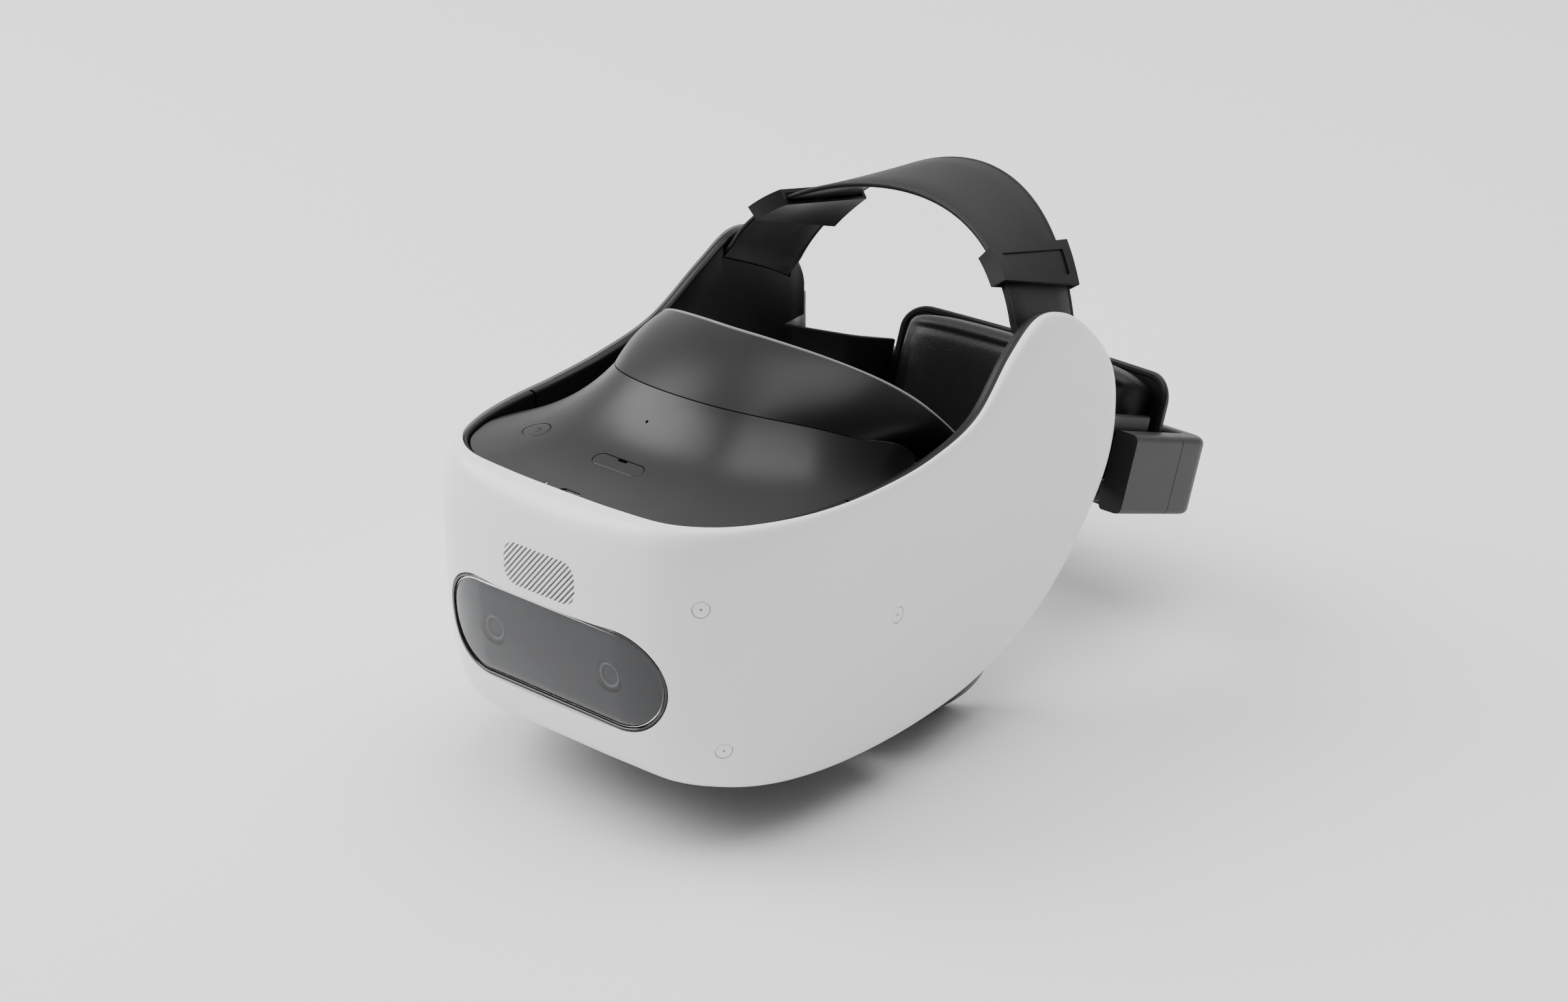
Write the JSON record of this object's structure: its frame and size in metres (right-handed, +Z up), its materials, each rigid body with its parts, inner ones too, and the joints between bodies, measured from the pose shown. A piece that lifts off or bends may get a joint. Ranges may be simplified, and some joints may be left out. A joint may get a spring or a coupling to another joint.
{
  "type": "vr headset",
  "caption": "Stand-alone virtual-reality headset: wrap-round white shell, dark visor, light hood, adjustable lenses, head strap and a dial-fitted rear cushion.",
  "frame": {"origin": "bottom centre of the whole headset's box", "axes": "+X to the wearer's left, -Y forward out of the visor, +Z up"},
  "size_m": [0.1892, 0.3602, 0.2106],
  "materials": {
    "shell_white": "satin moulded",
    "visor_black": "high gloss",
    "satin_black": "satin moulded",
    "deck_grey": "satin moulded",
    "soft_black": "soft-touch coating",
    "foam_grey": "fabric-faced foam",
    "leather_black": "fine-grained imitation leather",
    "lens_clear": "clear optical",
    "steel": "bright",
    "aluminium": "satin",
    "board_green": "solder mask",
    "battery_blue": "film wrapped",
    "display_dark": "display panel",
    "led_white": "translucent"
  },
  "bodies": {
    "headset": {"outer_shell": "shell_white", "sensor_left_1": "shell_white", "sensor_left_2": "shell_white", "sensor_left_3": "shell_white", "sensor_right_1": "shell_white", "sensor_right_2": "shell_white", "sensor_right_3": "shell_white", "visor_glass": "visor_black", "visor_bezel": "satin_black", "camera_left": "satin_black", "camera_right": "satin_black", "belly_cover": "satin_black", "deck_cover": "deck_grey", "power_switch": "satin_black", "card_reader": "steel", "usb_port": "steel", "status_lamp": "led_white", "front_liner": "satin_black", "wing_liner_left": "satin_black", "wing_liner_right": "satin_black", "speaker_left": "satin_black", "speaker_right": "satin_black", "hood": "satin_black", "face_cushion": "foam_grey", "inner_frame": "aluminium", "guide_rod_upper": "steel", "guide_rod_lower": "steel", "main_board": "board_green", "heat_sink": "aluminium", "fan_housing": "satin_black", "battery": "battery_blue", "strap_anchor_left": "steel", "strap_anchor_right": "steel", "top_strap": "leather_black", "side_band_left": "satin_black", "side_band_right": "satin_black"},
    "power_button": {"power_button": "deck_grey"},
    "card_door": {"card_door": "deck_grey"},
    "optics_left": {"lens_tube_left": "satin_black", "lens_left": "lens_clear", "display_left": "display_dark", "ipd_rack_left": "satin_black"},
    "optics_right": {"lens_tube_right": "satin_black", "lens_right": "lens_clear", "display_right": "display_dark", "ipd_rack_right": "satin_black"},
    "ipd_wheel": {"ipd_wheel": "soft_black"},
    "fan_rotor": {"fan_rotor": "satin_black"},
    "keeper_left": {"strap_keeper_left": "satin_black"},
    "keeper_right": {"strap_keeper_right": "satin_black"},
    "cradle": {"rear_housing": "soft_black", "housing_cap_left": "soft_black", "housing_cap_right": "soft_black", "pad_backing": "satin_black", "rack_cover": "satin_black", "rear_cushion": "leather_black"},
    "fit_dial": {"fit_dial": "soft_black"},
    "fit_rack_left": {"fit_rack_left": "satin_black"},
    "fit_rack_right": {"fit_rack_right": "satin_black"}
  },
  "joints": [
    {"name": "power_press", "type": "slide", "parent": "headset", "child": "power_button", "axis": [0, 0, -1], "range_m": [0, 0.0008], "stiffness_N_per_m": 500, "springref_m": -0.0005},
    {"name": "card_door_lift", "type": "slide", "parent": "headset", "child": "card_door", "axis": [0, 0, 1], "range_m": [0, 0.006]},
    {"name": "eye_distance", "type": "slide", "parent": "headset", "child": "optics_left", "axis": [1, 0, 0], "range_m": [-0.00125, 0.00575]},
    {"name": "eye_distance_right", "type": "slide", "parent": "headset", "child": "optics_right", "axis": [1, 0, 0], "range_m": [-0.00575, 0.00125]},
    {"name": "eye_wheel_turn", "type": "hinge", "parent": "headset", "child": "ipd_wheel", "pos_m": [0, -0.12412, 0.04405], "axis": [0, 1, 0], "range_deg": [-66, 14.4]},
    {"name": "fan_spin", "type": "hinge", "parent": "headset", "child": "fan_rotor", "pos_m": [0, -0.16992, 0.11354], "axis": [0, 1, 0], "continuous": true},
    {"name": "keeper_left_shift", "type": "hinge", "parent": "headset", "child": "keeper_left", "pos_m": [0.00579, 0.05946, 0.12694], "axis": [0.3217, 0.9155, -0.2417], "range_deg": [-3, 3]},
    {"name": "keeper_right_shift", "type": "hinge", "parent": "headset", "child": "keeper_right", "pos_m": [-0.00579, 0.05946, 0.12694], "axis": [-0.3217, 0.9155, -0.2417], "range_deg": [-3, 3]},
    {"name": "fit_slide", "type": "slide", "parent": "headset", "child": "cradle", "axis": [0, 0.9397, -0.342], "range_m": [-0.002, 0.022]},
    {"name": "fit_dial_turn", "type": "hinge", "parent": "cradle", "child": "fit_dial", "pos_m": [0, 0.16162, 0.06152], "axis": [0, 0.9397, -0.342], "range_deg": [-19.1, 210.1]},
    {"name": "rack_left_shift", "type": "slide", "parent": "cradle", "child": "fit_rack_left", "axis": [1, 0, 0], "range_m": [-0.002, 0.022]},
    {"name": "rack_right_shift", "type": "slide", "parent": "cradle", "child": "fit_rack_right", "axis": [1, 0, 0], "range_m": [-0.022, 0.002]}
  ],
  "couplings": [
    {"joint": "eye_distance_right", "follows": "eye_distance", "ratio": -1},
    {"joint": "eye_wheel_turn", "follows": "eye_distance", "rad_per_m": -200},
    {"joint": "fit_dial_turn", "follows": "fit_slide", "rad_per_m": 166.67},
    {"joint": "rack_left_shift", "follows": "fit_slide", "ratio": 1},
    {"joint": "rack_right_shift", "follows": "fit_slide", "ratio": -1}
  ]
}
